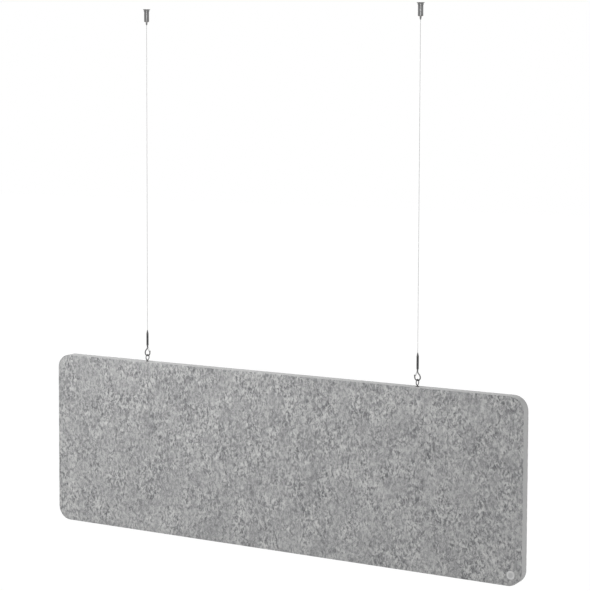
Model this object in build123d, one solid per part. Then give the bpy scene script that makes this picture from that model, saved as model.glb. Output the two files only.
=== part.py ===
from build123d import *

import os
from math import acos, asin, cos, degrees, radians, sin, sqrt, tan

# Felt acoustic panel that hangs from the ceiling on two steel wires. Sizes are in millimetres.
# X runs along the panel, Y through its thickness with the front at -Y, and Z is up.
# The origin is on the ceiling plane, midway between the two ceiling fixings.

# Panel
panel_length = 1200.0
panel_height = 400.0
panel_thickness = 27.0
corner_radius = 32.0
felt_thickness = 2.0
band_thickness = 2.0
rail_depth = 30.0
brace_width = 24.0
pad_gap = 0.3
dowel_radius = 2.5
dowel_length = 24.0
dowel_gap = 0.05

# Badge, set in from the right end and the bottom edge
badge_inset = 24.0
badge_radius = 9.3
badge_thickness = 1.2
badge_edge = 0.3
inlay_radius = 5.4
inlay_depth = 0.5
inlay_gap = 0.05
badge_pin_radius = 1.5
badge_pin_length = 8.0
badge_pin_wall = 3.0

# Suspension
fixing_spacing = 700.0
suspension_drop = 818.0
running_gap = 0.02
swing_limit = 12.0
sway_limit = 8.0
swivel_margin = 1.5

# Ceiling cap and ball stud
flange_radius = 8.5
flange_edge = 0.9
flare_depth = 3.4
flare_hollow = 0.3
skirt_depth = 5.8
skirt_wall = 0.7
ball_drop = 8.0
ball_radius = 4.1
stud_neck_radius = 2.6
stud_bore_radius = 1.65
stud_bore_depth = 6.5

# Ball liner and barrel
liner_wall = 0.68
liner_reach = 2.2
liner_slit = 0.8
dome_gap = 0.25
barrel_wall = 0.93
thread_wall = 0.8
rim_land = 0.08

# Wire gripper inside the barrel
seat_drop = 0.5
seat_thickness = 0.8
seat_hole_radius = 2.2
spring_radius = 3.4
spring_wire_radius = 0.3
spring_turns = 4
spring_closed_gap = 0.14
cage_flange_radius = 4.2
cage_flange_thickness = 0.8
cage_wall = 1.55
cage_bore_gap = 0.25
cage_length = 6.5
grip_ball_radius = 1.2
grip_ball_count = 3
grip_ball_drop = 4.0
cone_angle = 12.0
cone_top_gap = 1.2
chamber_radius = 3.4
chamber_roof_gap = 0.1
end_ring_length = 1.6
end_ring_gap = 0.1

# Release nozzle
nozzle_travel = 1.4
nozzle_stop_gap = 0.18
nozzle_flange_thickness = 0.8
nozzle_flange_side_gap = 0.2
nozzle_cage_gap = 0.2
nozzle_hub_radius = 2.0
nozzle_radius = 2.2
nozzle_tip_radius = 1.45
nozzle_length = 7.0
nozzle_taper_length = 5.0
nozzle_bore_gap = 0.12
nozzle_mouth = 0.3

# Wire, nipple, sleeve and clevis
wire_radius = 0.6
wire_tail = 2.5
nipple_radius = 1.5
nipple_length = 5.0
sleeve_radius = 2.5
sleeve_length = 28.5
sleeve_point_length = 8.0
sleeve_point_radius = 0.9
clevis_length = 7.5
spigot_length = 5.0
spigot_step = 0.05
clevis_slot_gap = 0.05
hook_pin_radius = 0.8
hook_pin_rise = 3.0
slot_head_gap = 0.2

# Hook and gate
hook_wire_radius = 1.4
hook_bowl_radius = 6.5
hook_shoulder_rise = 14.5
hook_neck_length = 6.0
hook_nose_rise = 4.3
hook_nose_lean = 0.5
tang_radius = 2.0
gate_wire_radius = 0.35
gate_side_gap = 0.1
gate_end_gap = 1.0
gate_pivot_rise = 1.0
gate_boss_radius = 1.5
gate_seat_gap = 0.05
gate_seat_drop = 0.9

# Eye screw and threaded insert
eye_ring_radius = 6.3
eye_wire_radius = 1.1
eye_collar_radius = 3.5
eye_collar_thickness = 1.0
eye_neck_radius = 1.6
eye_neck_length = 2.4
eye_shank_radius = 2.5
insert_radius = 4.5
insert_length = 14.0
shank_end_gap = 1.0
hang_gap = 0.03
band_hole_gap = 0.2

# Places worked out from the sizes above
panel_top = -suspension_drop
panel_mid = panel_top - panel_height / 2
frame_length = panel_length - 2 * band_thickness
frame_height = panel_height - 2 * band_thickness
frame_thickness = panel_thickness - 2 * felt_thickness
frame_corner_radius = corner_radius - band_thickness
badge_block_side = badge_inset - band_thickness + badge_pin_radius + badge_pin_wall
block_side = max(rail_depth, frame_corner_radius, badge_block_side)
front_face = -panel_thickness / 2

badge_x = panel_length / 2 - badge_inset
badge_z = panel_mid - panel_height / 2 + badge_inset

ball_centre = -ball_drop
liner_inner_radius = ball_radius + running_gap
liner_outer_radius = liner_inner_radius + liner_wall
seat_radius = liner_outer_radius + running_gap
barrel_radius = seat_radius + barrel_wall
recess_radius = barrel_radius + dome_gap
bore_radius = barrel_radius - thread_wall
both_limits = degrees(acos(cos(radians(swing_limit)) * cos(radians(sway_limit))))

spring_seat_top = ball_centre - ball_radius - seat_drop
spring_top = spring_seat_top - seat_thickness
spring_end_gap = spring_wire_radius + running_gap
spring_pitch = 2 * spring_wire_radius + spring_closed_gap + nozzle_travel / spring_turns
spring_rise = spring_turns * spring_pitch
cage_top = spring_top - spring_rise - 2 * spring_end_gap
cage_bore_radius = wire_radius + cage_bore_gap
cage_radius = cage_bore_radius + cage_wall
cage_bottom = cage_top - cage_length
grip_ball_centre = cage_top - grip_ball_drop
grip_ball_offset = wire_radius + running_gap + grip_ball_radius
cone_top = cage_top - cage_flange_thickness - cone_top_gap
chamber_top = cage_bottom - chamber_roof_gap

nozzle_top = cage_bottom - nozzle_cage_gap
nozzle_flange_top = chamber_top - nozzle_stop_gap - nozzle_travel
nozzle_flange_bottom = nozzle_flange_top - nozzle_flange_thickness
ring_top = nozzle_flange_bottom - running_gap
barrel_bottom = ring_top - end_ring_length
nozzle_tip = barrel_bottom - nozzle_length
nozzle_bore_radius = wire_radius + nozzle_bore_gap

eye_centre = panel_top + eye_collar_thickness + eye_neck_length + eye_ring_radius
hook_low = eye_centre + eye_ring_radius - eye_wire_radius - hook_wire_radius - hang_gap
bowl_centre = hook_low + hook_bowl_radius
neck_bottom = bowl_centre + hook_shoulder_rise
hook_pin_z = neck_bottom + hook_neck_length
gate_pivot_z = neck_bottom + gate_pivot_rise
gate_bend_radius = gate_side_gap + gate_wire_radius
clevis_bottom = hook_pin_z - hook_pin_rise
clevis_top = clevis_bottom + clevis_length
sleeve_top = clevis_top + sleeve_length
spigot_radius = nipple_radius + spigot_step
nipple_bottom = clevis_top + spigot_length + running_gap
wire_top = grip_ball_centre + wire_tail
slot_half_width = hook_wire_radius + clevis_slot_gap


def turned(*profile):
    """A round piece about the Z axis from a closed outline of (radius, height) points."""
    outline = Polyline([(r, 0, z) for r, z in profile], close=True)
    return revolve(make_face(outline), Axis.Z)


def polar(radius, angle):
    """A point on the swivel's sphere, by its angle from straight up."""
    a = radians(angle)
    return (radius * sin(a), 0, ball_centre + radius * cos(a))


def shell_arc(radius, start, end):
    """An arc about the ball's centre between two angles from straight up."""
    return ThreePointArc(polar(radius, start), polar(radius, (start + end) / 2), polar(radius, end))


def rod(radius, low, high):
    """An upright cylinder about the Z axis."""
    return Pos(0, 0, (low + high) / 2) * Cylinder(radius, high - low)


def cross_rod(radius, length, x, y, z, axis):
    """A cylinder centred at a point and lying along X, Y or Z."""
    turn = {"X": Rot(0, 90, 0), "Y": Rot(90, 0, 0), "Z": Rot(0, 0, 0)}[axis]
    return Pos(x, y, z) * turn * Cylinder(radius, length)


def block(x0, x1, y0, y1, z0, z1):
    """A box between two corners."""
    return Pos((x0 + x1) / 2, (y0 + y1) / 2, (z0 + z1) / 2) * Box(x1 - x0, y1 - y0, z1 - z0)


def rounded_plate(length, height, radius, thickness):
    """An upright plate with rounded corners, centred on the panel's middle."""
    outline = Plane.XZ * RectangleRounded(length, height, radius)
    return Pos(0, 0, panel_mid) * extrude(outline, amount=thickness / 2, both=True)


def fixing_x(side):
    return side * fixing_spacing / 2


# Panel pieces

def dowel_places():
    """Each dowel's centre and direction. Rail and stile dowels cross at different depths."""
    places = []
    for sx in (-1, 1):
        for sz in (-1, 1):
            rail_z = panel_mid + sz * (frame_height - rail_depth) / 2
            stile_x = sx * (frame_length - rail_depth) / 2
            rail_joint = (sx * (frame_length / 2 - block_side), frame_thickness / 4, rail_z)
            stile_joint = (stile_x, 0, panel_mid + sz * (frame_height / 2 - block_side))
            places += [(rail_joint, "X"), (stile_joint, "Z")]
    for sz in (-1, 1):
        places.append(((0, 0, panel_mid + sz * (frame_height / 2 - rail_depth)), "Z"))
    return places


def dowels(radius, length):
    return [cross_rod(radius, length, *centre, axis) for centre, axis in dowel_places()]


def drilled(piece):
    """A frame member with its dowel holes."""
    for hole in dowels(dowel_radius + dowel_gap, dowel_length + 2 * dowel_gap):
        piece -= hole
    return piece


def felt(side):
    """One face sheet. The front one, at side -1, is pierced for the badge's pin."""
    sheet = rounded_plate(panel_length, panel_height, corner_radius, felt_thickness)
    sheet = Pos(0, side * (panel_thickness - felt_thickness) / 2, 0) * sheet
    if side < 0:
        hole_radius = badge_pin_radius + running_gap
        sheet -= cross_rod(hole_radius, panel_thickness, badge_x, front_face, badge_z, "Y")
    return sheet


def edge_band():
    """The strip round the edge, with a hole for each eye screw."""
    band = rounded_plate(panel_length, panel_height, corner_radius, frame_thickness)
    band -= rounded_plate(frame_length, frame_height, frame_corner_radius, frame_thickness)
    for side in (-1, 1):
        hole = rod(eye_shank_radius + band_hole_gap, panel_top - band_thickness, panel_top)
        band -= Pos(fixing_x(side), 0, 0) * hole
    return band


def rail(side):
    """The bottom rail, at side -1, or the top rail, which is bored for the inserts."""
    half = frame_length / 2 - block_side
    edge = panel_mid + side * frame_height / 2
    inner = edge - side * rail_depth
    depth = frame_thickness / 2
    piece = drilled(block(-half, half, -depth, depth, min(edge, inner), max(edge, inner)))
    if side > 0:
        for s in (-1, 1):
            hole = rod(insert_radius + running_gap, edge - insert_length, edge)
            piece -= Pos(fixing_x(s), 0, 0) * hole
    return piece


def stile(side):
    half = frame_height / 2 - block_side
    edge = side * frame_length / 2
    inner = edge - side * rail_depth
    depth = frame_thickness / 2
    low, high = panel_mid - half, panel_mid + half
    return drilled(block(min(edge, inner), max(edge, inner), -depth, depth, low, high))


def centre_brace():
    half = frame_height / 2 - rail_depth
    depth = frame_thickness / 2
    wide = brace_width / 2
    return drilled(block(-wide, wide, -depth, depth, panel_mid - half, panel_mid + half))


def corner_region(sx, sz, extra=0.0):
    """The box at one corner of the frame that its block fills."""
    x_out, z_out = sx * frame_length / 2, panel_mid + sz * frame_height / 2
    x_in, z_in = x_out - sx * (block_side + extra), z_out - sz * (block_side + extra)
    depth = frame_thickness / 2
    return block(min(x_out, x_in), max(x_out, x_in), -depth, depth, min(z_out, z_in), max(z_out, z_in))


def corner_block(sx, sz):
    """A block with one rounded corner. The lower right one takes the badge's pin."""
    frame = rounded_plate(frame_length, frame_height, frame_corner_radius, frame_thickness)
    piece = drilled(frame & corner_region(sx, sz))
    if sx > 0 and sz < 0:
        reach = 2 * (badge_pin_length + running_gap)
        piece -= cross_rod(badge_pin_radius + running_gap, reach, badge_x, front_face, badge_z, "Y")
    return piece


def core_pad(side):
    """One half of the absorber, between the frame members, notched where a corner block is larger."""
    inner = brace_width / 2 + pad_gap
    outer = frame_length / 2 - rail_depth - pad_gap
    half = frame_height / 2 - rail_depth - pad_gap
    depth = frame_thickness / 2
    x0, x1 = sorted((side * inner, side * outer))
    pad = block(x0, x1, -depth, depth, panel_mid - half, panel_mid + half)
    if block_side > rail_depth:
        for sz in (-1, 1):
            pad -= corner_region(side, sz, pad_gap)
    return pad


def badge_disc():
    """A round button with a pin behind it and a shallow recess in front."""
    face = front_face - badge_thickness
    disc = chamfer(Cylinder(badge_radius, badge_thickness).edges().group_by(Axis.Z)[-1], badge_edge)
    disc = Pos(badge_x, front_face - badge_thickness / 2, badge_z) * Rot(90, 0, 0) * disc
    pin_middle = front_face + badge_pin_length / 2
    disc += cross_rod(badge_pin_radius, badge_pin_length, badge_x, pin_middle, badge_z, "Y")
    disc -= cross_rod(inlay_radius + inlay_gap, 2 * inlay_depth, badge_x, face, badge_z, "Y")
    return disc


def badge_inlay():
    middle = front_face - badge_thickness + inlay_depth / 2
    return cross_rod(inlay_radius, inlay_depth, badge_x, middle, badge_z, "Y")


def threaded_insert():
    top = panel_top - band_thickness
    bore = rod(eye_shank_radius + running_gap, top - insert_length, top)
    return rod(insert_radius, top - insert_length, top) - bore


def eye_screw():
    """A ring that stands across the panel, on a collar and a shank."""
    eye = Pos(0, 0, eye_centre) * Rot(0, 90, 0) * Torus(eye_ring_radius, eye_wire_radius)
    collar_top = panel_top + eye_collar_thickness
    eye += rod(eye_neck_radius, collar_top, eye_centre - eye_ring_radius)
    eye += rod(eye_collar_radius, panel_top, collar_top)
    shank_end = panel_top - band_thickness - insert_length + shank_end_gap
    eye += rod(eye_shank_radius, shank_end, panel_top)
    return eye


# Ceiling fixing

def ceiling_cap():
    """A flared flange whose skirt is hollowed to clear the barrel's dome."""
    lip = ball_drop - skirt_depth
    skirt_radius = sqrt(recess_radius**2 - lip**2) + skirt_wall
    edge = Vector(flange_radius, 0, -flange_edge)
    foot = Vector(skirt_radius, 0, -flare_depth)
    inward = Vector(skirt_radius, 0, -flange_edge)
    middle = (edge + foot) / 2 * (1 - flare_hollow) + inward * flare_hollow
    outline = [
        Line((0, 0, 0), (flange_radius, 0, 0)),
        Line((flange_radius, 0, 0), edge),
        ThreePointArc(edge, middle, foot),
        Line(foot, (skirt_radius, 0, -skirt_depth)),
        Line((skirt_radius, 0, -skirt_depth), (0, 0, -skirt_depth)),
        Line((0, 0, -skirt_depth), (0, 0, 0)),
    ]
    cap = revolve(make_face(Wire(outline)), Axis.Z)
    cap -= Pos(0, 0, ball_centre) * Sphere(recess_radius)
    return cap - rod(stud_neck_radius + running_gap, -skirt_depth, 0)


def ball_stud():
    """The hollow stud that screws into the cap. Its bore, open at the ceiling, takes an M4 screw."""
    stud = Pos(0, 0, ball_centre) * Sphere(ball_radius) + rod(stud_neck_radius, ball_centre, 0)
    return stud - rod(stud_bore_radius, -stud_bore_depth, 0)


def ball_liner():
    """A slit spherical ring round the ball, open above as far as the neck swings."""
    opening = degrees(asin(stud_neck_radius / ball_radius)) + swing_limit + swivel_margin
    bottom = 90 + degrees(asin(liner_reach / liner_inner_radius))
    outline = [
        shell_arc(liner_inner_radius, opening, bottom),
        Line(polar(liner_inner_radius, bottom), polar(liner_outer_radius, bottom)),
        shell_arc(liner_outer_radius, bottom, opening),
        Line(polar(liner_outer_radius, opening), polar(liner_inner_radius, opening)),
    ]
    ring = revolve(make_face(Wire(outline)), Axis.Z)
    reach = 2 * liner_outer_radius
    return ring - Pos(reach / 2, 0, ball_centre) * Box(reach, liner_slit, 2 * reach)


# Gripper

def barrel():
    """A domed tube. The dome turns on the liner and is open above as far as the neck swings."""
    opening = degrees(asin(stud_neck_radius / seat_radius)) + both_limits + swivel_margin
    outline = [
        shell_arc(seat_radius, opening, 90),
        Line(polar(seat_radius, 90), (seat_radius, 0, spring_seat_top)),
        Line((seat_radius, 0, spring_seat_top), (bore_radius, 0, spring_seat_top)),
        Line((bore_radius, 0, spring_seat_top), (bore_radius, 0, barrel_bottom)),
        Line((bore_radius, 0, barrel_bottom), (barrel_radius, 0, barrel_bottom)),
        Line((barrel_radius, 0, barrel_bottom), polar(barrel_radius, 90)),
        shell_arc(barrel_radius, 90, opening),
        Line(polar(barrel_radius, opening), polar(seat_radius, opening)),
    ]
    tube = revolve(make_face(Wire(outline)), Axis.Z)
    rim = tube.edges().filter_by(GeomType.CIRCLE).group_by(Axis.Z)[0].sort_by(SortBy.RADIUS)[-1]
    return chamfer(rim, thread_wall - rim_land)


def spring_seat():
    washer = rod(bore_radius - running_gap, spring_top, spring_seat_top)
    return washer - rod(seat_hole_radius, spring_top, spring_seat_top)


def spring_line():
    """The coil's centre line, between its seat and the cage."""
    return Helix(spring_pitch, spring_rise, spring_radius, center=(0, 0, cage_top + spring_end_gap))


def grip_spring():
    """An open coil that still has a gap between its turns when the nozzle is pushed in."""
    path = spring_line()
    section = Plane(origin=path @ 0, z_dir=path % 0) * Circle(spring_wire_radius)
    return sweep(section, path=path, is_frenet=True)


def least_turn_gap(points_per_turn=48):
    """The least gap between two turns, measured on points that lie over half a turn apart."""
    line = spring_line()
    count = spring_turns * points_per_turn
    points = [line @ (i / count) for i in range(count + 1)]
    apart = points_per_turn // 2
    gaps = [(b - a).length for i, a in enumerate(points) for b in points[i + apart:]]
    return min(gaps) - 2 * spring_wire_radius


def ball_cage():
    """A flanged sleeve with a side hole for each grip ball."""
    under = cage_top - cage_flange_thickness
    cage = turned(
        (cage_bore_radius, cage_top),
        (cage_flange_radius, cage_top),
        (cage_flange_radius, under),
        (cage_radius, under),
        (cage_radius, cage_bottom),
        (cage_bore_radius, cage_bottom),
    )
    hole_middle = wire_radius + cage_radius / 2
    hole = cross_rod(grip_ball_radius + running_gap, cage_radius, hole_middle, 0, grip_ball_centre, "X")
    for i in range(grip_ball_count):
        cage -= Rot(0, 0, 360 * i / grip_ball_count) * hole
    return cage


def grip_balls():
    ball = Pos(grip_ball_offset, 0, grip_ball_centre) * Sphere(grip_ball_radius)
    return [Rot(0, 0, 360 * i / grip_ball_count) * ball for i in range(grip_ball_count)]


def cone_radius(z):
    """The gripping cone's radius at a height: it just clears the grip balls."""
    reach = grip_ball_radius + running_gap
    slope = radians(cone_angle)
    touch = grip_ball_centre - reach * sin(slope)
    return grip_ball_offset + reach * cos(slope) + (z - touch) * tan(slope)


def cone_body():
    """The core of the barrel's lower end: the gripping cone and the chamber below it."""
    outer = bore_radius - running_gap
    return turned(
        (cone_radius(cone_top), cone_top),
        (outer, cone_top),
        (outer, barrel_bottom),
        (chamber_radius, barrel_bottom),
        (chamber_radius, chamber_top),
        (cone_radius(chamber_top), chamber_top),
    )


def end_ring():
    outer, inner = chamber_radius - running_gap, nozzle_radius + end_ring_gap
    return rod(outer, barrel_bottom, ring_top) - rod(inner, barrel_bottom, ring_top)


def release_nozzle():
    """Pushed up, its hub lifts the cage and frees the wire. The mouth is flared for the wire."""
    flange_side = chamber_radius - nozzle_flange_side_gap
    taper_top = nozzle_tip + nozzle_taper_length
    return turned(
        (nozzle_bore_radius, nozzle_top),
        (nozzle_hub_radius, nozzle_top),
        (nozzle_hub_radius, nozzle_flange_top),
        (flange_side, nozzle_flange_top),
        (flange_side, nozzle_flange_bottom),
        (nozzle_radius, nozzle_flange_bottom),
        (nozzle_radius, taper_top),
        (nozzle_tip_radius, nozzle_tip),
        (nozzle_bore_radius + nozzle_mouth, nozzle_tip),
        (nozzle_bore_radius, nozzle_tip + 2 * nozzle_mouth),
    )


# Wire and its lower end

def wire():
    return rod(wire_radius, nipple_bottom, wire_top)


def wire_nipple():
    top = nipple_bottom + nipple_length
    return rod(nipple_radius, nipple_bottom, top) - rod(wire_radius + running_gap, nipple_bottom, top)


def sleeve():
    """A tube with a pointed top that holds the wire's nipple above the clevis's spigot."""
    cavity_radius = spigot_radius + running_gap
    cavity_top = nipple_bottom + nipple_length + running_gap
    wire_hole = wire_radius + running_gap
    return turned(
        (cavity_radius, clevis_top),
        (sleeve_radius, clevis_top),
        (sleeve_radius, sleeve_top - sleeve_point_length),
        (sleeve_point_radius, sleeve_top),
        (wire_hole, sleeve_top),
        (wire_hole, cavity_top),
        (cavity_radius, cavity_top),
    )


def clevis():
    """The forked end of the sleeve, slotted for the hook's tang and drilled for its pin."""
    fork = rod(sleeve_radius, clevis_bottom, clevis_top)
    fork += rod(spigot_radius, clevis_top, clevis_top + spigot_length)
    slot_top = hook_pin_z + tang_radius + slot_head_gap
    half = slot_half_width
    fork -= block(-sleeve_radius, sleeve_radius, -half, half, clevis_bottom, slot_top)
    return fork - cross_rod(hook_pin_radius + running_gap, 2 * sleeve_radius, 0, 0, hook_pin_z, "Y")


def hook_pin():
    half = sqrt(sleeve_radius**2 - hook_pin_radius**2) - running_gap
    return cross_rod(hook_pin_radius, 2 * half, 0, 0, hook_pin_z, "Y")


def nose_tip(way):
    """The end of the hook's nose, which leans out a little."""
    return Vector(way * (hook_bowl_radius + hook_nose_lean), 0, bowl_centre + hook_nose_rise)


def hook(way):
    """A round wire bent into a hook whose nose is on the side given by way."""
    back = -way * hook_bowl_radius
    neck = Vector(0, 0, neck_bottom)
    shoulder = Vector(back / 2, 0, (neck_bottom + bowl_centre) / 2)
    upper = TangentArc(neck, shoulder, tangent=(0, 0, -1))
    lower = TangentArc(shoulder, (back, 0, bowl_centre), tangent=upper % 1)
    bowl = ThreePointArc((back, 0, bowl_centre), (0, 0, hook_low), (-back, 0, bowl_centre))
    nose = TangentArc((-back, 0, bowl_centre), nose_tip(way), tangent=(0, 0, 1))
    path = Wire([Line((0, 0, hook_pin_z), neck), upper, lower, bowl, nose])
    section = Plane(origin=(0, 0, hook_pin_z), z_dir=(0, 0, -1)) * Circle(hook_wire_radius)
    bent = sweep(section, path=path)
    bent += Pos(*nose_tip(way)) * Sphere(hook_wire_radius)
    bent += cross_rod(tang_radius, 2 * hook_wire_radius, 0, 0, hook_pin_z, "Y")
    bent += cross_rod(gate_boss_radius, 2 * hook_wire_radius, 0, 0, gate_pivot_z, "Y")
    bent -= cross_rod(hook_pin_radius + running_gap, 4 * hook_wire_radius, 0, 0, hook_pin_z, "Y")
    return bent - cross_rod(gate_wire_radius + running_gap, 4 * hook_wire_radius, 0, 0, gate_pivot_z, "Y")


def gate(way):
    """A wire hairpin: two legs hinged in the neck, closed by a half ring that rests inside the nose."""
    pivot = Vector(0, 0, gate_pivot_z)
    seat_x = way * (hook_bowl_radius - hook_wire_radius - gate_wire_radius - gate_seat_gap)
    seat = Vector(seat_x, 0, bowl_centre + hook_nose_rise - gate_seat_drop)
    along = (seat - pivot).normalized()
    leg_y = hook_wire_radius + gate_side_gap + gate_wire_radius
    leg_end = seat - along * leg_y
    across = Vector(0, leg_y, 0)
    inner = Vector(0, gate_end_gap / 2, 0)
    path = FilletPolyline(pivot - inner, pivot - across, leg_end - across, radius=gate_bend_radius)
    first, last = path.edges(), mirror(path, Plane.XZ).edges()
    bend = ThreePointArc(leg_end - across, seat, leg_end + across)
    line = Wire([*first, bend, *last])
    section = Plane(origin=pivot - inner, z_dir=(0, -1, 0)) * Circle(gate_wire_radius)
    return sweep(section, path=line)


# Write every piece

def solids_of(shape):
    """The solids of a shape or of a list of shapes."""
    shapes = shape if isinstance(shape, list) else [shape]
    return [solid for each in shapes for solid in each.solids()]


def save(name, shape, x=0.0):
    solids = [Pos(x, 0, 0) * solid for solid in solids_of(shape)]
    piece = solids[0] if len(solids) == 1 else Compound(children=solids)
    export_step(piece, f"parts/{name}.step")


os.makedirs("parts", exist_ok=True)

save("front_felt", felt(-1))
save("rear_felt", felt(1))
save("edge_band", edge_band())
save("top_rail", rail(1))
save("bottom_rail", rail(-1))
save("left_stile", stile(-1))
save("right_stile", stile(1))
save("centre_brace", centre_brace())
for z_name, sz in (("bottom", -1), ("top", 1)):
    for x_name, sx in (("left", -1), ("right", 1)):
        save(f"corner_block_{z_name}_{x_name}", corner_block(sx, sz))
save("frame_dowels", dowels(dowel_radius, dowel_length))
save("core_pad_left", core_pad(-1))
save("core_pad_right", core_pad(1))
save("badge_disc", badge_disc())
save("badge_inlay", badge_inlay())

suspension = {
    "insert": threaded_insert,
    "eye": eye_screw,
    "ceiling_cap": ceiling_cap,
    "ball_stud": ball_stud,
    "ball_liner": ball_liner,
    "barrel": barrel,
    "spring_seat": spring_seat,
    "grip_spring": grip_spring,
    "ball_cage": ball_cage,
    "grip_balls": grip_balls,
    "cone_body": cone_body,
    "end_ring": end_ring,
    "release_nozzle": release_nozzle,
    "wire": wire,
    "wire_nipple": wire_nipple,
    "sleeve": sleeve,
    "clevis": clevis,
    "hook_pin": hook_pin,
}
for side_name, side in (("left", -1), ("right", 1)):
    for name, make in suspension.items():
        save(f"{name}_{side_name}", make(), fixing_x(side))
    save(f"hook_{side_name}", hook(-side), fixing_x(side))
    save(f"gate_{side_name}", gate(-side), fixing_x(side))

print(f"Each wire is one straight run of {wire_top - nipple_bottom:.1f} mm, with no arcs.")
print(f"Grip spring: {spring_turns} turns, least gap between turns {least_turn_gap():.2f} mm.")
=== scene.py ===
from math import cos, pi, radians, sin

import bmesh
import bpy
import numpy as np
from mathutils import Matrix, Vector


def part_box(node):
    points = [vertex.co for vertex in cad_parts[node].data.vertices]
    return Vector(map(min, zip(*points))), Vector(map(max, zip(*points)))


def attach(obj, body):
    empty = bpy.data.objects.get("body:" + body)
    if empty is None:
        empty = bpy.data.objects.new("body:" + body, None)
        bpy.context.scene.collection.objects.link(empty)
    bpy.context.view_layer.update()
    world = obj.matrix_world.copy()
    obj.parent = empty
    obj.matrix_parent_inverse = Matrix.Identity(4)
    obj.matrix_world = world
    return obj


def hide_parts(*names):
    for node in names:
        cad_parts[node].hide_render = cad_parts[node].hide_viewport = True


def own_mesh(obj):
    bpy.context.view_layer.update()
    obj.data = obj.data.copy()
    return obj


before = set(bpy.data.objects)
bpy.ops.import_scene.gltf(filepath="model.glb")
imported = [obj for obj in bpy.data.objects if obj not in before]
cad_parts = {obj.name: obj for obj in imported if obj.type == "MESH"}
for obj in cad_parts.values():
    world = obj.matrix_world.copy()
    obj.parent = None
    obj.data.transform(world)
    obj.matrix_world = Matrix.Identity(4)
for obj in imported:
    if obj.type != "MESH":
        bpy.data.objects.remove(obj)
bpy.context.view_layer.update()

# A felt acoustic panel that hangs from the ceiling on two steel wires, in metres.
# X runs along the panel, Y goes from its front to its back and Z is up from the ceiling plane.

# Sizes read from the frame
FRONT_LOW, FRONT_HIGH = (np.array(corner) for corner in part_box("front_felt"))
REAR_LOW, REAR_HIGH = (np.array(corner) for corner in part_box("rear_felt"))
BAND_LOW, BAND_HIGH = (np.array(corner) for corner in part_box("edge_band"))
BLOCK_LOW, BLOCK_HIGH = (np.array(corner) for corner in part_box("corner_block_top_right"))
PANEL_HALF = (FRONT_HIGH[0] - FRONT_LOW[0]) / 2
PANEL_RISE = (FRONT_HIGH[2] - FRONT_LOW[2]) / 2
PANEL_MID = (FRONT_HIGH[2] + FRONT_LOW[2]) / 2
WIRE_LOW, WIRE_HIGH = (np.array(corner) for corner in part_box("wire_left"))
BAND_THICKNESS = FRONT_HIGH[0] - BLOCK_HIGH[0]
CORNER_RADIUS = BLOCK_HIGH[0] - BLOCK_LOW[0] + BAND_THICKNESS

SIDES = ("left", "right")


def middle_x(node):
    """The middle of a node along X."""
    low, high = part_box(node)
    return (low[0] + high[0]) / 2


# Surfaces worked out on grids

JOIN_DISTANCE = 1e-6
NO_LENGTH = 1e-7


def grid_faces(rows, columns, wrap_rows=False):
    """Quads between neighbouring rows of a grid whose columns close into a loop."""
    row = np.arange(rows if wrap_rows else rows - 1)[:, None]
    column = np.arange(columns)[None, :]
    after, beside = (row + 1) % rows, (column + 1) % columns
    here, there = row * columns, after * columns
    corners = (here + column, here + beside, there + beside, there + column)
    return np.stack(np.broadcast_arrays(*corners), axis=-1).reshape(-1, 4)


def piece_from_grid(name, points, material, wrap_rows=False):
    """A smooth mesh from an array of points (rows, columns, 3). Points that coincide are joined,
    and the faces are turned outwards.
    """
    rows, columns, _ = points.shape
    faces = grid_faces(rows, columns, wrap_rows)
    mesh = bpy.data.meshes.new(name)
    mesh.vertices.add(rows * columns)
    mesh.vertices.foreach_set("co", points.reshape(-1).astype(np.float32))
    mesh.loops.add(faces.size)
    mesh.loops.foreach_set("vertex_index", faces.reshape(-1).astype(np.int32))
    mesh.polygons.add(len(faces))
    mesh.polygons.foreach_set("loop_start", np.arange(0, faces.size, 4, dtype=np.int32))
    mesh.update(calc_edges=True)
    mesh.validate()
    work = bmesh.new()
    work.from_mesh(mesh)
    bmesh.ops.remove_doubles(work, verts=work.verts, dist=JOIN_DISTANCE)
    bmesh.ops.dissolve_degenerate(work, edges=work.edges, dist=NO_LENGTH)
    bmesh.ops.recalc_face_normals(work, faces=work.faces)
    for face in work.faces:
        face.smooth = True
    work.to_mesh(mesh)
    work.free()
    mesh.materials.append(material)
    piece = bpy.data.objects.new(name, mesh)
    bpy.context.scene.collection.objects.link(piece)
    return piece


def coiled_tube(line, out, along, radius, sides):
    """The grid of a tube about a coiled line. Each ring is a circle that starts towards out and is
    square to along, the line's direction there. Both ends close in a point.
    """
    along = along / np.linalg.norm(along, axis=-1, keepdims=True)
    cross = np.cross(along, out)
    angle = np.linspace(0, 2 * pi, sides, endpoint=False)[None, :, None]
    ring = out[:, None] * np.cos(angle) + cross[:, None] * np.sin(angle)
    start, end = (np.repeat(tip[None, None], sides, axis=1) for tip in (line[0], line[-1]))
    return np.concatenate([start, line[:, None] + radius * ring, end])


# Outline of the panel: a rectangle whose corners are quarter circles

LONG_STEPS = 96
SHORT_STEPS = 28
CORNER_STEPS = 16


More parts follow.
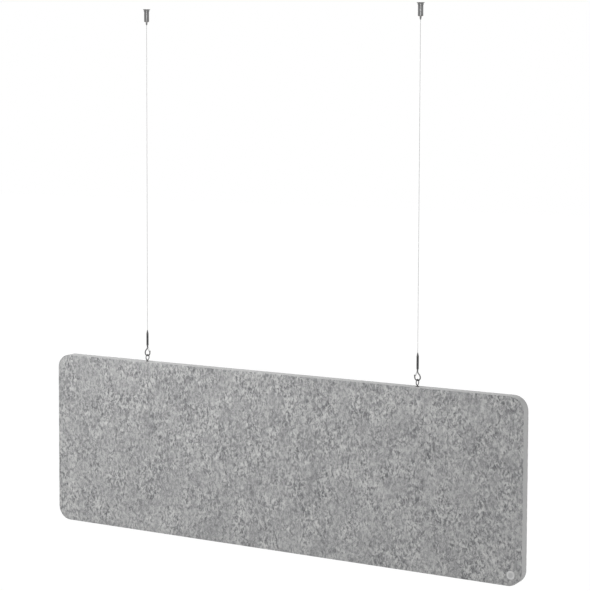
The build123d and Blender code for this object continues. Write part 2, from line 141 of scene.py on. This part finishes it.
def panel_outline():
    """Points of the inner rectangle that carries the corner circles, and the way outwards at each.

    Along a side the way stays and the point moves; round a corner the point stays and the way
    turns by a quarter. The outline itself is the point plus the radius times the way.
    """
    half, rise = PANEL_HALF - CORNER_RADIUS, PANEL_RISE - CORNER_RADIUS
    corners = np.array([(half, rise), (-half, rise), (-half, -rise), (half, -rise)])
    starts = np.array([0, pi / 2, pi, 3 * pi / 2])
    points, ways = [], []
    for i, (corner, start) in enumerate(zip(corners, starts)):
        turn = start + np.linspace(0, pi / 2, CORNER_STEPS + 1)
        points.append(np.repeat(corner[None], CORNER_STEPS + 1, axis=0))
        ways.append(np.stack([np.cos(turn), np.sin(turn)], axis=-1))
        steps = LONG_STEPS if i % 2 == 0 else SHORT_STEPS
        share = np.linspace(0, 1, steps + 1)[1:-1, None]
        points.append(corner + (corners[(i + 1) % 4] - corner) * share)
        ways.append(np.repeat(ways[-1][-1:], steps - 1, axis=0))
    return np.concatenate(points), np.concatenate(ways)


def carried_round(profile):
    """Rows of points: each (inset, depth) of the profile carried round the panel's outline."""
    base, way = panel_outline()
    inset, depth = profile[:, 0, None], profile[:, 1, None]
    x = base[None, :, 0] + (CORNER_RADIUS - inset) * way[None, :, 0]
    z = base[None, :, 1] + (CORNER_RADIUS - inset) * way[None, :, 1] + PANEL_MID
    return np.stack([x, np.broadcast_to(depth, x.shape), z], axis=-1)


def waviness(x, z, seed):
    """A gentle unevenness between -1 and 1: four long waves that cross at odd angles."""
    waves = ((11.0, 3.0, 0.3), (-6.5, 14.0, 1.9), (19.0, -9.0, 4.1), (4.0, 23.0, 2.6))
    total = sum(np.sin(a * x + b * z + phase + seed) for a, b, phase in waves)
    return total / len(waves)


# Felt sheets

FELT_EDGE_RADIUS = 0.0009
FELT_INNER_RADIUS = 0.0003
FELT_WAVE = 0.00022
FACE_RINGS = 22
RING_POWER = 0.8  # below one, the rings stand closer towards the edge
WAVE_FADE = 6  # the higher, the later the waves fade towards the edge
EDGE_STEPS = 6


def felt_profile(outer, inner):
    """The sheet's cut edge from its outer face to its inner face: two quarter rounds and a flat."""
    way = 1 if inner > outer else -1
    turn = np.linspace(0, pi / 2, EDGE_STEPS + 1)
    rise, fall = 1 - np.cos(turn), 1 - np.sin(turn)
    near = np.stack([FELT_EDGE_RADIUS * fall, outer + way * FELT_EDGE_RADIUS * rise], axis=-1)
    far = np.stack([FELT_INNER_RADIUS * rise, inner - way * FELT_INNER_RADIUS * fall], axis=-1)
    return np.concatenate([near, far])


def felt_sheet(name, node, outer, inner, material, seed):
    """One face sheet: on both faces, rings shrink from the rolled edge to the middle line."""
    edge = carried_round(felt_profile(outer, inner))
    base, _ = panel_outline()
    seam = np.zeros((1, edge.shape[1], 3))
    seam[0, :, 0] = base[:, 0] * (PANEL_HALF - PANEL_RISE) / (PANEL_HALF - CORNER_RADIUS)
    seam[0, :, 2] = PANEL_MID
    share = np.linspace(0, 1, FACE_RINGS + 1)[:-1, None, None] ** RING_POWER
    front, back = edge[:1], edge[-1:]
    front_seam, back_seam = seam.copy(), seam.copy()
    front_seam[..., 1], back_seam[..., 1] = outer, inner
    face = front_seam + share * (front - front_seam)
    lift = (1 - share[..., 0] ** WAVE_FADE) * waviness(face[..., 0], face[..., 2], seed)
    face[..., 1] += FELT_WAVE * lift * (1 if outer < inner else -1)
    rear = back_seam + share[::-1] * (back - back_seam)
    piece = piece_from_grid(name, np.concatenate([face, edge, rear]), material)
    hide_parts(node)
    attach(piece, "panel")


# Edge band

BAND_CROWN = 0.0003
BAND_EDGE_DROP = 0.0004
BAND_FACE_SHARE = 0.985  # of the width, which leaves the rest to the softened edges
BAND_COLUMNS = 12


def band_profile():
    """The strip's section: a slightly crowned outer face, softened edges and a flat inner face."""
    low, high = BAND_LOW[1], BAND_HIGH[1]
    edge = BAND_EDGE_DROP + BAND_CROWN
    across = np.linspace(-1, 1, BAND_COLUMNS + 1)
    depth = (low + high) / 2 + across * (high - low) / 2 * BAND_FACE_SHARE
    outer = np.stack([BAND_CROWN * across**2, depth], axis=-1)
    inner = np.stack([np.full_like(across, BAND_THICKNESS), depth], axis=-1)[::-1]
    far_side = [[edge, high], [BAND_THICKNESS, high]]
    near_side = [[BAND_THICKNESS, low], [edge, low]]
    return np.concatenate([outer, far_side, inner, near_side])


def edge_band(material):
    """The strip round the edge. Its flat length is the outline's."""
    grid = carried_round(band_profile())
    piece = piece_from_grid("edge_strip", grid, material, wrap_rows=True)
    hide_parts("edge_band")
    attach(piece, "panel")


# Wires

WIRE_RADIUS = (WIRE_HIGH[0] - WIRE_LOW[0]) / 2
ROUTE_POINTS = 6
ROUTE_STEPS = 24
STRANDS = 6
STRAND_RADIUS = WIRE_RADIUS / 3
WINDING_RADIUS = WIRE_RADIUS - STRAND_RADIUS
STRAND_LAY = 0.008
STRAND_SIDES = 6
STRAND_STEPS_PER_LAY = 10


def route_line(name, low, high, x):
    """The centre line of a taut wire, from its top: points read from a spline whose control points
    run straight down.
    """
    curve = bpy.data.curves.new(name, "CURVE")
    curve.dimensions = "3D"
    curve.resolution_u = ROUTE_STEPS
    spline = curve.splines.new("NURBS")
    heights = np.linspace(high, low, ROUTE_POINTS)
    spline.points.add(len(heights) - 1)
    for point, z in zip(spline.points, heights):
        point.co = (x, 0.0, z, 1.0)
    spline.order_u = 3
    spline.use_endpoint_u = True
    holder = bpy.data.objects.new(name, curve)
    bpy.context.scene.collection.objects.link(holder)
    bpy.context.view_layer.update()
    line = bpy.data.meshes.new_from_object(holder)
    points = np.array([vertex.co for vertex in line.vertices])
    bpy.data.objects.remove(holder)
    bpy.data.meshes.remove(line)
    return points[np.argsort(-points[:, 2])]


def twisted_rope(path):
    """The grids of six strands wound about a path that runs down, so height is the parameter. They
    touch each other and hide the core, which isn't made.
    """
    top, bottom = path[0, 2], path[-1, 2]
    steps = int((top - bottom) / STRAND_LAY * STRAND_STEPS_PER_LAY) + 1
    z = np.linspace(top, bottom, steps)
    x, y = (np.interp(-z, -path[:, 2], path[:, axis]) for axis in (0, 1))
    turn = 2 * pi * (top - z) / STRAND_LAY
    slope = 2 * pi * WINDING_RADIUS / STRAND_LAY
    strands = []
    for k in range(STRANDS):
        angle = turn + 2 * pi * k / STRANDS
        out = np.stack([np.cos(angle), np.sin(angle), np.zeros_like(z)], axis=-1)
        along = np.stack([-slope * np.sin(angle), slope * np.cos(angle), -np.ones_like(z)], axis=-1)
        line = np.stack([x, y, z], axis=-1) + WINDING_RADIUS * out
        strands.append(coiled_tube(line, out, along, STRAND_RADIUS, STRAND_SIDES))
    return strands


def wire(side, material):
    """One suspension wire, from the gripper down into its sleeve."""
    node = f"wire_{side}"
    low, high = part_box(node)
    path = route_line(f"route_{side}", low[2], high[2], middle_x(node))
    grids = enumerate(twisted_rope(path))
    parts = [piece_from_grid(f"strand_{side}_{i}", grid, material) for i, grid in grids]
    work = bmesh.new()
    for part in parts:
        work.from_mesh(part.data)
    rope = parts[0]
    work.to_mesh(rope.data)
    work.free()
    for part in parts[1:]:
        bpy.data.objects.remove(part)
    rope.name = f"rope_{side}"
    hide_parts(node)
    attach(rope, f"wire_{side}")


# Grip springs, which in the real gripper shorten as the release nozzles are pushed in; built here
# at rest

SPRING_WIRE = 0.0003
SPRING_TURNS = 4
SPRING_STEPS = 36
SPRING_SIDES = 10


def grip_spring(side, material):
    """An open coil about the gripper's axis. It is held at its seat's underside.
    """
    node = f"grip_spring_{side}"
    low, high = (np.array(corner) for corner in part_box(node))
    middle, radius = middle_x(node), (high[0] - low[0]) / 2 - SPRING_WIRE
    climb = high[2] - low[2] - 2 * SPRING_WIRE
    share = np.linspace(0, 1, SPRING_TURNS * SPRING_STEPS + 1)
    turn = 2 * pi * SPRING_TURNS * share
    out = np.stack([np.cos(turn), np.sin(turn), np.zeros_like(turn)], axis=-1)
    slope = 2 * pi * SPRING_TURNS * radius
    rise = np.full_like(turn, climb)
    along = np.stack([-slope * np.sin(turn), slope * np.cos(turn), rise], axis=-1)
    line = radius * out + [middle, 0.0, low[2] + SPRING_WIRE]
    line[:, 2] += climb * share
    grid = coiled_tube(line, out, along, SPRING_WIRE, SPRING_SIDES)
    piece = piece_from_grid(f"coil_{side}", grid, material)
    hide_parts(node)
    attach(piece, f"line_{side}")
    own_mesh(piece)


# Core pads, hidden between the felts

PAD_ROOM = 0.0006
PAD_COLUMNS = 96
PAD_ROWS = 25
PAD_CORNER_POWER = 0.12  # the lower, the squarer
PAD_EDGE_POWER = 0.08
PAD_FACE_POWER = 0.5


def signed_power(values, power):
    """Values raised to a power in size, with their signs kept."""
    return np.sign(values) * np.abs(values) ** power


def core_pad(side, material):
    """A fleece slab: a box whose corners, edges and faces are rounded by powers of sine and cosine.
    Front and back it stays a little inside its CAD box.
    """
    node = f"core_pad_{side}"
    low, high = (np.array(corner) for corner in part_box(node))
    centre, half = (low + high) / 2, (high - low) / 2
    turn = np.linspace(0, 2 * pi, PAD_COLUMNS, endpoint=False)
    across, up = (signed_power(wave(turn), PAD_CORNER_POWER) for wave in (np.cos, np.sin))
    tilt = np.linspace(-pi / 2, pi / 2, PAD_ROWS)[:, None]
    reach = signed_power(np.cos(tilt), PAD_EDGE_POWER)
    x = centre[0] + half[0] * reach * across
    z = centre[2] + half[2] * reach * up
    depth = signed_power(np.sin(tilt), PAD_FACE_POWER)
    y = centre[1] + (half[1] - PAD_ROOM) * depth * np.ones_like(x)
    piece = piece_from_grid(f"fleece_{side}", np.stack([x, y, z], axis=-1), material)
    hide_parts(node)
    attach(piece, "panel")


# Materials

HAIR_WIDTH = 0.0003
HAIR_LENGTH = 0.0026
HAIR_CURL = (240.0, 0.0035)  # bends per metre, and how far they reach
CLUMP_CURL = (75.0, 0.011)
MOULDED_SPREAD = 0.06  # of the roughness, to each side


def grey(value):
    """A grey as Blender takes colours: linear red, green and blue, and opaque."""
    return (value, value, value, 1.0)


class Material:
    """A node material with a few short ways to add and join nodes."""

    def __init__(self, name, roughness, metallic=0.0):
        self.data = bpy.data.materials.new(name)
        self.data.use_nodes = True
        self.nodes = self.data.node_tree.nodes
        self.links = self.data.node_tree.links
        self.shader = self.nodes["Principled BSDF"]
        self.shader.inputs["Roughness"].default_value = roughness
        self.shader.inputs["Metallic"].default_value = metallic
        self.place = self.nodes.new("ShaderNodeTexCoord").outputs["Object"]

    def mapped(self, scale, turn=0.0, place=None, kind="POINT"):
        """Object coordinates, or another place, scaled and turned about Y, the panel's depth. As a
        POINT the scale comes first and its stretch stays upright. As a TEXTURE, whose scale is the
        size of a grain, the stretch turns as well.
        """
        node = self.nodes.new("ShaderNodeMapping")
        node.vector_type = kind
        node.inputs["Scale"].default_value = scale
        node.inputs["Rotation"].default_value = (0.0, turn, 0.0)
        self.links.new(place or self.place, node.inputs["Vector"])
        return node.outputs["Vector"]

    def hairs(self, *turns):
        """Fine curled hairs, a few millimetres long, at each turn: the mean of their noises."""
        place, size = self.bent_place(*HAIR_CURL), (HAIR_WIDTH, HAIR_WIDTH, HAIR_LENGTH)
        total = 0.0
        for turn in turns:
            strands = self.mapped(size, turn, place, kind="TEXTURE")
            total = self.math("ADD", self.noise(strands, detail=2.0, rough=0.6), total)
        return self.math("DIVIDE", total, float(len(turns)))

    def bent_place(self, scale, reach):
        """Object coordinates pushed about by up to the reach, so that fibres curl."""
        node = self.nodes.new("ShaderNodeTexNoise")
        node.inputs["Scale"].default_value = scale
        node.inputs["Detail"].default_value = 1.0
        self.links.new(self.place, node.inputs["Vector"])
        push = self.nodes.new("ShaderNodeVectorMath")
        push.operation = "MULTIPLY_ADD"
        self.links.new(node.outputs["Color"], push.inputs[0])
        push.inputs[1].default_value = (reach, reach, reach)
        self.links.new(self.place, push.inputs[2])
        return push.outputs["Vector"]

    def spread(self, value, low, high, to_low, to_high):
        """Value carried over from low and high to to_low and to_high, and held between them."""
        node = self.nodes.new("ShaderNodeMapRange")
        node.inputs["From Min"].default_value = low
        node.inputs["From Max"].default_value = high
        node.inputs["To Min"].default_value = to_low
        node.inputs["To Max"].default_value = to_high
        self.links.new(value, node.inputs["Value"])
        return node.outputs["Result"]

    def fibres(self, value, level, width):
        """Thin curly lines, one where value crosses level and nought a width away from it."""
        away = self.math("ABSOLUTE", self.math("SUBTRACT", value, level), 0.0)
        return self.spread(away, 0.0, width, 1.0, 0.0)

    def noise(self, vector, detail=2.0, rough=0.5):
        """Noise about a half. The scale of the vector sets the size of its grains."""
        node = self.nodes.new("ShaderNodeTexNoise")
        node.inputs["Scale"].default_value = 1.0
        node.inputs["Detail"].default_value = detail
        node.inputs["Roughness"].default_value = rough
        self.links.new(vector, node.inputs["Vector"])
        return node.outputs["Fac"]

    def math(self, operation, a, b):
        """One sum on two values, each a number or another node's output."""
        node = self.nodes.new("ShaderNodeMath")
        node.operation = operation
        for socket, value in zip(node.inputs, (a, b)):
            if isinstance(value, (int, float)):
                socket.default_value = value
            else:
                self.links.new(value, socket)
        return node.outputs[0]

    def weighted(self, *pairs):
        """The sum of each value, less a half, times its weight, about a half."""
        total = 0.5
        for value, weight in pairs:
            offset = self.math("SUBTRACT", value, 0.5)
            scaled = self.math("MULTIPLY", offset, weight)
            total = self.math("ADD", scaled, total)
        return total

    def ramp(self, value, stops):
        """A smooth change of grey or colour along value."""
        node = self.nodes.new("ShaderNodeValToRGB")
        elements = node.color_ramp.elements
        while len(elements) < len(stops):
            elements.new(0.5)
        for element, (at, colour) in zip(elements, stops):
            element.position = at
            element.color = colour
        self.links.new(value, node.inputs["Fac"])
        return node.outputs["Color"]

    def colour(self, output):
        """Paints the surface with a colour output."""
        self.links.new(output, self.shader.inputs["Base Color"])

    def roughness(self, value, low, high):
        """Roughness from low, where value is nought, to high, where it is one."""
        self.links.new(self.spread(value, 0.0, 1.0, low, high), self.shader.inputs["Roughness"])

    def bump(self, height, distance, strength):
        """Raises the surface by height, in steps of up to distance."""
        node = self.nodes.new("ShaderNodeBump")
        node.inputs["Distance"].default_value = distance
        node.inputs["Strength"].default_value = strength
        self.links.new(height, node.inputs["Height"])
        self.links.new(node.outputs["Normal"], self.shader.inputs["Normal"])


def marled_felt():
    """Pressed felt: calm patches between clusters of upright dark clumps, with pale and dark stray
    fibres and fine hairs.
    """
    felt = Material("marled felt", 0.95)
    bent = felt.bent_place(*CLUMP_CURL)
    patches = felt.noise(felt.mapped((34, 34, 26)), detail=1.5)
    clusters = felt.spread(patches, 0.38, 0.62, 0.60, 1.40)
    clumps = felt.noise(felt.mapped((172, 172, 104), 0.10, bent), detail=3.0, rough=0.60)
    streaks = felt.noise(felt.mapped((360, 360, 172), -0.20, bent), detail=2.0, rough=0.5)
    clouds = felt.noise(felt.mapped((15, 15, 13)), detail=3.0)
    grain = felt.noise(felt.mapped((1300, 1300, 900), 0.15), detail=1.0)
    pale_noise = felt.noise(felt.mapped((115, 115, 80), 0.4, bent), detail=1.0)
    dark_noise = felt.noise(felt.mapped((135, 135, 75), -0.3, bent), detail=1.0)
    pale_fibres = felt.fibres(pale_noise, 0.50, 0.024)
    dark_fibres = felt.fibres(dark_noise, 0.47, 0.024)
    hairs = felt.hairs(0.25, -0.55, 1.10, -1.35)
    broad = (clumps, felt.math("MULTIPLY", clusters, 1.30)), (clouds, 0.27)
    fine = (streaks, felt.math("MULTIPLY", clusters, 0.78)), (grain, 0.14), (hairs, 1.90)
    marl = felt.weighted(*broad, *fine)
    marl = felt.math("ADD", marl, felt.math("MULTIPLY", pale_fibres, 0.07))
    marl = felt.math("SUBTRACT", marl, felt.math("MULTIPLY", dark_fibres, 0.08))
    dark, deep = (0.115, 0.116, 0.121, 1.0), (0.225, 0.227, 0.232, 1.0)
    light, pale = (0.365, 0.366, 0.364, 1.0), (0.520, 0.520, 0.512, 1.0)
    felt.colour(felt.ramp(marl, [(0.12, dark), (0.38, deep), (0.58, light), (0.88, pale)]))
    felt.shader.inputs["Sheen Weight"].default_value = 0.25
    felt.shader.inputs["Sheen Roughness"].default_value = 0.6
    felt.shader.inputs["Specular IOR Level"].default_value = 0.15
    felt.bump(marl, 0.0006, 0.5)
    return felt.data


def smooth_felt():
    """The edge strip's finer, paler felt."""
    felt = Material("edge felt", 0.92)
    fibres = felt.noise(felt.mapped((600, 600, 600)), detail=3.0)
    clouds = felt.noise(felt.mapped((22, 22, 22)), detail=2.0)
    hairs = felt.hairs(0.35, 1.20, -0.80)
    marl = felt.weighted((fibres, 0.5), (clouds, 0.3), (hairs, 0.8))
    felt.colour(felt.ramp(marl, [(0.25, grey(0.28)), (0.55, grey(0.35)), (0.8, grey(0.43))]))
    felt.shader.inputs["Sheen Weight"].default_value = 0.2
    felt.shader.inputs["Specular IOR Level"].default_value = 0.15
    felt.bump(marl, 0.0003, 0.4)
    return felt.data


def fleece():
    """The pads' white wadding, in soft tufts."""
    pad = Material("fleece", 0.95)
    tufts = pad.noise(pad.mapped((160, 160, 160)), detail=4.0, rough=0.7)
    pad.colour(pad.ramp(tufts, [(0.3, grey(0.62)), (0.7, grey(0.82))]))
    pad.bump(tufts, 0.002, 0.6)
    return pad.data


def timber():
    """Softwood sawn along the panel: streaks of grain over wide bands of growth rings."""
    wood = Material("softwood", 0.6)
    grain = wood.noise(wood.mapped((14, 260, 260)), detail=4.0, rough=0.6)
    rings = wood.noise(wood.mapped((2, 60, 60)), detail=2.0)
    figure = wood.weighted((grain, 0.8), (rings, 0.9))
    pale, deep = (0.66, 0.46, 0.27, 1.0), (0.46, 0.28, 0.14, 1.0)
    wood.colour(wood.ramp(figure, [(0.3, deep), (0.62, pale)]))
    wood.bump(grain, 0.0002, 0.4)
    return wood.data


def turned_metal(name, dark, pale, low, high, lines=2600.0):
    """A turned or drawn metal: fine rings round the upright axis and a cloudy polish."""
    metal = Material(name, low, metallic=1.0)
    rings = metal.noise(metal.mapped((40, 40, lines)), detail=2.0)
    clouds = metal.noise(metal.mapped((500, 500, 500)), detail=2.0)
    polish = metal.weighted((rings, 0.6), (clouds, 0.6))
    metal.colour(metal.ramp(polish, [(0.3, dark), (0.7, pale)]))
    metal.roughness(polish, low, high)
    metal.bump(rings, 0.00002, 0.35)
    return metal.data


def moulded(name, dark, pale, rough):
    """A moulded or painted surface with a fine even grain."""
    skin = Material(name, rough)
    grain = skin.noise(skin.mapped((2500, 2500, 2500)), detail=2.0)
    clouds = skin.noise(skin.mapped((90, 90, 90)), detail=2.0)
    tone = skin.weighted((grain, 0.5), (clouds, 0.5))
    skin.colour(skin.ramp(tone, [(0.3, dark), (0.7, pale)]))
    skin.roughness(tone, rough - MOULDED_SPREAD, rough + MOULDED_SPREAD)
    skin.bump(grain, 0.00003, 0.3)
    return skin.data


def repaint(nodes, material):
    """Gives CAD pieces a material without touching their shape."""
    for node in nodes:
        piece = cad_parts[node]
        if not piece.material_slots:
            piece.data.materials.append(material)
        for each in piece.material_slots:
            each.link = "OBJECT"
            each.material = material


def both(*names):
    """Each name with its left and its right node."""
    return [f"{name}_{side}" for name in names for side in SIDES]


# Camera, where it stood for the photograph

IMAGE_SIZE = 591
FOCAL_PIXELS = 1762.2
AXIS_ROW = 224.5
SENSOR = 36.0
CAMERA_REACH = 60.0
CAMERA_PLACE = Vector((1.9819, -3.3745, -0.1966))
CAMERA_AZIMUTH = radians(29.838)
CAMERA_DIP = radians(4.190)
CAMERA_ROLL = radians(0.190)


def camera():
    """Looks along the azimuth, dipped and rolled. The shift puts the lens axis on its row."""
    azimuth, dip, roll = CAMERA_AZIMUTH, CAMERA_DIP, CAMERA_ROLL
    ahead = Vector((-sin(azimuth) * cos(dip), cos(azimuth) * cos(dip), -sin(dip)))
    level = Vector((cos(azimuth), sin(azimuth), 0.0))
    upright = level.cross(ahead)
    right = cos(roll) * level + sin(roll) * upright
    up = cos(roll) * upright - sin(roll) * level
    data = bpy.data.cameras.new("camera")
    data.sensor_width = SENSOR
    data.lens = FOCAL_PIXELS * SENSOR / IMAGE_SIZE
    data.shift_y = (AXIS_ROW - IMAGE_SIZE / 2) / IMAGE_SIZE
    data.clip_end = CAMERA_REACH
    eye = bpy.data.objects.new("camera", data)
    turn = Matrix((right, up, -ahead)).transposed().to_4x4()
    eye.matrix_world = Matrix.Translation(CAMERA_PLACE) @ turn
    bpy.context.scene.collection.objects.link(eye)
    bpy.context.scene.camera = eye


# Room and light

FLOOR_DEPTH = 2.6
FLOOR_SIZE = 60.0
FLOOR_GREY = 0.65
AMBIENT = 0.22
FLOOR_GLOW = 1.12
FLOOR_GLOW_SHARE = 0.88
TARGET = Vector((0.0, 0.0, PANEL_MID))
LAMPS = (  # name, place, size, power in watts and whether it shows in polished metal
    ("key", (-0.8, -1.5, 0.4), 1.4, 49.0, False),
    ("top", (0.3, -0.4, 2.2), 2.2, 10.0, False),
    ("end", (3.4, 1.1, -0.6), 1.6, 72.0, False),
    ("front", (2.1, -4.1, 0.8), 1.7, 46.0, True),
    ("rear", (-1.7, 2.6, -0.2), 2.2, 84.0, False),
)


def seen_directly(nodes, links):
    """One for rays from the camera, mirrors and glass, and nought for light on surfaces."""
    path = nodes.new("ShaderNodeLightPath")
    seen = path.outputs["Is Camera Ray"]
    for ray in ("Is Glossy Ray", "Is Transmission Ray"):
        either = nodes.new("ShaderNodeMath")
        either.operation = "MAXIMUM"
        links.new(seen, either.inputs[0])
        links.new(path.outputs[ray], either.inputs[1])
        seen = either.outputs[0]
    return seen


def join_shaders(nodes, links, share, plain, seen, surface):
    """Sends the plain shader to the surface, with the seen one in its place by the share."""
    mix = nodes.new("ShaderNodeMixShader")
    for socket, value in zip(mix.inputs, (share, plain, seen)):
        links.new(value, socket)
    links.new(mix.outputs[0], surface)


def studio_world():
    """A dim, even room that shows as white."""
    world = bpy.data.worlds.new("studio")
    world.use_nodes = True
    nodes, links = world.node_tree.nodes, world.node_tree.links
    plain = nodes["Background"]
    plain.inputs["Color"].default_value = grey(1.0)
    plain.inputs["Strength"].default_value = AMBIENT
    white = nodes.new("ShaderNodeBackground")
    white.inputs["Color"].default_value = grey(1.0)
    white.inputs["Strength"].default_value = 1.0
    seen, surface = seen_directly(nodes, links), nodes["World Output"].inputs["Surface"]
    join_shaders(nodes, links, seen, plain.outputs[0], white.outputs[0], surface)
    bpy.context.scene.world = world


def floor():
    """A pale floor well below the panel, white from afar, that still takes a soft shadow."""
    half = FLOOR_SIZE / 2
    corners = ((-half, -half), (half, -half), (half, half), (-half, half))
    mesh = bpy.data.meshes.new("floor")
    mesh.from_pydata([(x, y, -FLOOR_DEPTH) for x, y in corners], [], [(0, 1, 2, 3)])
    ground = bpy.data.objects.new("floor", mesh)
    bpy.context.scene.collection.objects.link(ground)
    material = bpy.data.materials.new("pale floor")
    material.use_nodes = True
    nodes, links = material.node_tree.nodes, material.node_tree.links
    matt = nodes["Principled BSDF"]
    matt.inputs["Base Color"].default_value = grey(FLOOR_GREY)
    matt.inputs["Roughness"].default_value = 1.0
    glow = nodes.new("ShaderNodeEmission")
    glow.inputs["Color"].default_value = grey(1.0)
    glow.inputs["Strength"].default_value = FLOOR_GLOW
    share = nodes.new("ShaderNodeMath")
    share.operation = "MULTIPLY"
    share.inputs[1].default_value = FLOOR_GLOW_SHARE
    links.new(seen_directly(nodes, links), share.inputs[0])
    surface = nodes["Material Output"].inputs["Surface"]
    join_shaders(nodes, links, share.outputs[0], matt.outputs[0], glow.outputs[0], surface)
    mesh.materials.append(material)


def softbox(name, place, size, power, shines):
    """A square lamp that faces the middle of the panel."""
    data = bpy.data.lights.new(name, "AREA")
    data.shape = "SQUARE"
    data.size = size
    data.energy = power
    lamp = bpy.data.objects.new(name, data)
    lamp.visible_glossy = shines
    lamp.location = place
    lamp.rotation_euler = (TARGET - Vector(place)).to_track_quat("-Z", "Y").to_euler()
    bpy.context.scene.collection.objects.link(lamp)


# Put together: camera and cords first

camera()

steel_wire = turned_metal("wire steel", grey(0.43), grey(0.60), 0.28, 0.42, lines=1400.0)
for side in SIDES:
    wire(side, steel_wire)

felt, edge_material, pad_material = marled_felt(), smooth_felt(), fleece()
felt_sheet("front_cloth", "front_felt", FRONT_LOW[1], FRONT_HIGH[1], felt, 0.0)
felt_sheet("rear_cloth", "rear_felt", REAR_HIGH[1], REAR_LOW[1], felt, 2.0)
edge_band(edge_material)
for side in SIDES:
    core_pad(side, pad_material)

frame_members = ["top_rail", "bottom_rail", "left_stile", "right_stile", "centre_brace"]
corner_blocks = both("corner_block_top", "corner_block_bottom")
repaint([*frame_members, "frame_dowels", *corner_blocks], timber())
repaint(["badge_disc"], moulded("badge rim", grey(0.50), grey(0.58), 0.4))
repaint(["badge_inlay"], moulded("badge middle", grey(0.39), grey(0.46), 0.5))
# Painted dark reflection: the nickel's base colour is set dark to stand in for the dim room its
# polish mirrors; the bare metal is brighter.
nickel = turned_metal("nickel", grey(0.14), grey(0.23), 0.24, 0.34)
repaint(both("ceiling_cap", "barrel", "release_nozzle", "end_ring"), nickel)
# Painted dark reflection: this steel's base colour is set dark to stand in for the dim room it
# mirrors; the bare bright steel is paler.
steel_with_painted_dark_reflection = turned_metal("steel with painted dark reflection", grey(0.10), grey(0.19), 0.26, 0.40)
repaint(both("eye", "hook", "gate", "ball_stud", "grip_balls", "hook_pin"), steel_with_painted_dark_reflection)
spring_steel = turned_metal("spring steel", grey(0.30), grey(0.45), 0.25, 0.40)
repaint(both("spring_seat"), spring_steel)
for side in SIDES:
    grip_spring(side, spring_steel)
brass = turned_metal("brass", (0.55, 0.40, 0.16, 1.0), (0.72, 0.56, 0.27, 1.0), 0.25, 0.40)
repaint(both("insert", "cone_body", "ball_cage", "wire_nipple"), brass)
repaint(both("sleeve", "clevis"), turned_metal("black nickel", grey(0.04), grey(0.10), 0.26, 0.40))
repaint(both("ball_liner"), moulded("liner plastic", grey(0.62), grey(0.72), 0.45))

studio_world()
floor()
for lamp in LAMPS:
    softbox(*lamp)

bpy.context.scene.view_settings.view_transform = "Standard"
